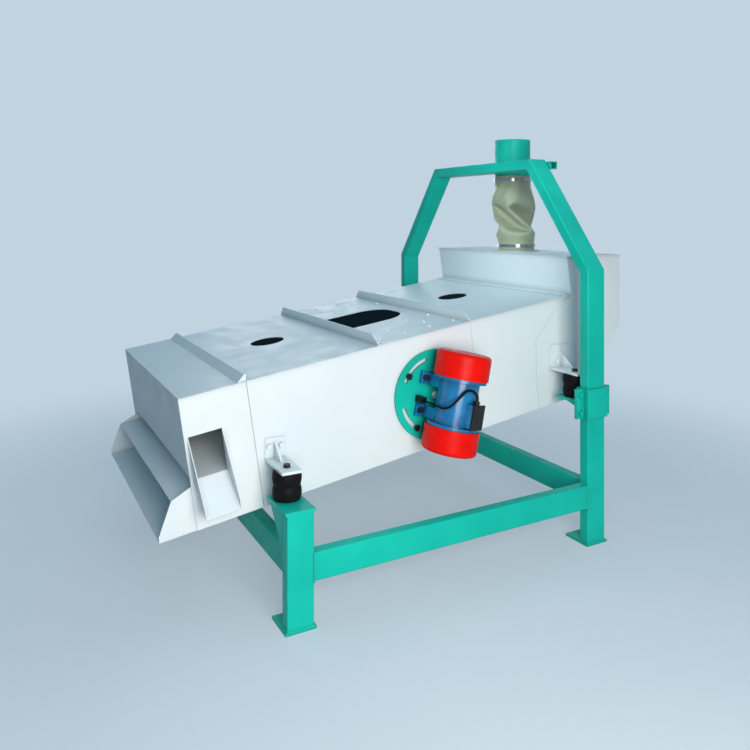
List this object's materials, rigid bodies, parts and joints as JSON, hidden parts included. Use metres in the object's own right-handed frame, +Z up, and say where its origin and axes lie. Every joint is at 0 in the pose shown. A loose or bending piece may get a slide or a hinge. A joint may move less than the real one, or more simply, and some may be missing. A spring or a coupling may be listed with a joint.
{
  "type": "vibrating grain sieve",
  "caption": "Inclined two-deck vibrating sieve box on rubber springs in a welded tube frame, with side vibration motors, a feed hopper under a gantry and separate outlets.",
  "frame": {"origin": "centre of the four anchor holes, on the floor under the foot plates", "axes": "+Z up; +X toward the feed end, so -X is the discharge end; +Y toward the left side, seen from the discharge end looking at the feed end"},
  "size_m": [2.2275, 1.5968, 1.835],
  "materials": {
    "frame_green": "smooth gloss teal-green paint",
    "box_white": "smooth white paint on sheet steel",
    "sleeve_canvas": "olive canvas",
    "clamp_steel": "bright steel band",
    "pane_dark": "dark tinted acrylic",
    "bolt_black": "blackened steel",
    "bolt_green": "painted over",
    "screen_wood": "plain wood frame with a thin perforated plate",
    "spring_rubber": "matt black rubber",
    "motor_blue": "blue enamel on cast iron",
    "cover_red": "red enamel",
    "terminal_black": "black moulded plastic",
    "cable_black": "black cable jacket",
    "rotor_iron": "machined"
  },
  "bodies": {
    "frame": {"front_legs": "frame_green", "side_rails": "frame_green", "cross_rails": "frame_green", "foot_plates": "frame_green", "spring_seats": "frame_green", "rear_posts": "frame_green", "gantry_struts": "frame_green", "gantry_beam": "frame_green", "pipe_support_bar": "frame_green", "feed_pipe": "frame_green", "inlet_sleeve": "sleeve_canvas", "upper_clamp": "clamp_steel"},
    "springs": {"front_springs": "spring_rubber", "rear_springs": "spring_rubber"},
    "sieve_box": {"side_plate_right": "box_white", "side_plate_left": "box_white", "hopper_cheeks": "box_white", "bottom_pan": "box_white", "hopper_front_wall": "box_white", "hopper_rear_wall": "box_white", "hopper_lid": "box_white", "inlet_spigot": "box_white", "lower_clamp": "clamp_steel", "feed_spreader": "box_white", "front_cover": "box_white", "middle_cover": "box_white", "rear_cover": "box_white", "sight_panes": "pane_dark", "cover_ribs": "box_white", "cover_bolts": "box_white", "hood_sides": "box_white", "hood_cover": "box_white", "grain_outlet": "box_white", "oversize_trough": "box_white", "oversize_spout": "box_white", "upper_screen": "screen_wood", "lower_screen": "screen_wood", "screen_runners": "box_white", "spring_brackets": "box_white", "box_bolts": "bolt_black"},
    "support_right": {"outer_collar_right": "frame_green", "spring_shelf_right": "frame_green", "collar_bolts_right": "bolt_green"},
    "motor_right": {"swivel_disc_right": "frame_green", "motor_casing_right": "motor_blue", "end_covers_right": "cover_red", "terminal_box_right": "terminal_black", "motor_cable_right": "cable_black", "motor_bolts_right": "bolt_black"},
    "rotor_right": {"rotor_right": "rotor_iron"},
    "support_left": {"outer_collar_left": "frame_green", "spring_shelf_left": "frame_green", "collar_bolts_left": "bolt_green"},
    "motor_left": {"swivel_disc_left": "frame_green", "motor_casing_left": "motor_blue", "end_covers_left": "cover_red", "terminal_box_left": "terminal_black", "motor_cable_left": "cable_black", "motor_bolts_left": "bolt_black"},
    "rotor_left": {"rotor_left": "rotor_iron"}
  },
  "joints": [
    {"name": "slope", "type": "hinge", "parent": "frame", "child": "springs", "pos_m": [-0.692, 0, 0.465], "axis": [0, -1, 0], "range_deg": [-2, 2], "deforming": ["front_springs", "rear_springs", "inlet_sleeve"]},
    {"name": "support_right_slide", "type": "slide", "parent": "frame", "child": "support_right", "axis": [0, 0, 1], "range_m": [-0.0484, 0.0484]},
    {"name": "support_left_slide", "type": "slide", "parent": "frame", "child": "support_left", "axis": [0, 0, 1], "range_m": [-0.0484, 0.0484]},
    {"name": "vibration", "type": "slide", "parent": "springs", "child": "sieve_box", "axis": [-0.9781, 0, 0.2079], "range_m": [-0.003, 0.003], "stiffness_N_per_m": 500000, "springref_m": 0.00179, "deforming": ["front_springs", "rear_springs", "inlet_sleeve"]},
    {"name": "swivel_right", "type": "hinge", "parent": "sieve_box", "child": "motor_right", "pos_m": [0.014, -0.5403, 0.6764], "axis": [0, -1, 0], "range_deg": [-8, 37]},
    {"name": "rotor_right_spin", "type": "hinge", "parent": "motor_right", "child": "rotor_right", "pos_m": [0.03748, -0.6713, 0.67141], "axis": [0.2079, 0, 0.9781], "continuous": true},
    {"name": "swivel_left", "type": "hinge", "parent": "sieve_box", "child": "motor_left", "pos_m": [0.014, 0.5403, 0.6764], "axis": [0, -1, 0], "range_deg": [-8, 37]},
    {"name": "rotor_left_spin", "type": "hinge", "parent": "motor_left", "child": "rotor_left", "pos_m": [0.03748, 0.6713, 0.67141], "axis": [0.2079, 0, 0.9781], "continuous": true}
  ],
  "couplings": [
    {"joint": "support_right_slide", "follows": "slope", "m_per_rad": 1.384},
    {"joint": "support_left_slide", "follows": "slope", "m_per_rad": 1.384},
    {"joint": "rotor_left_spin", "follows": "rotor_right_spin", "ratio": -1}
  ]
}
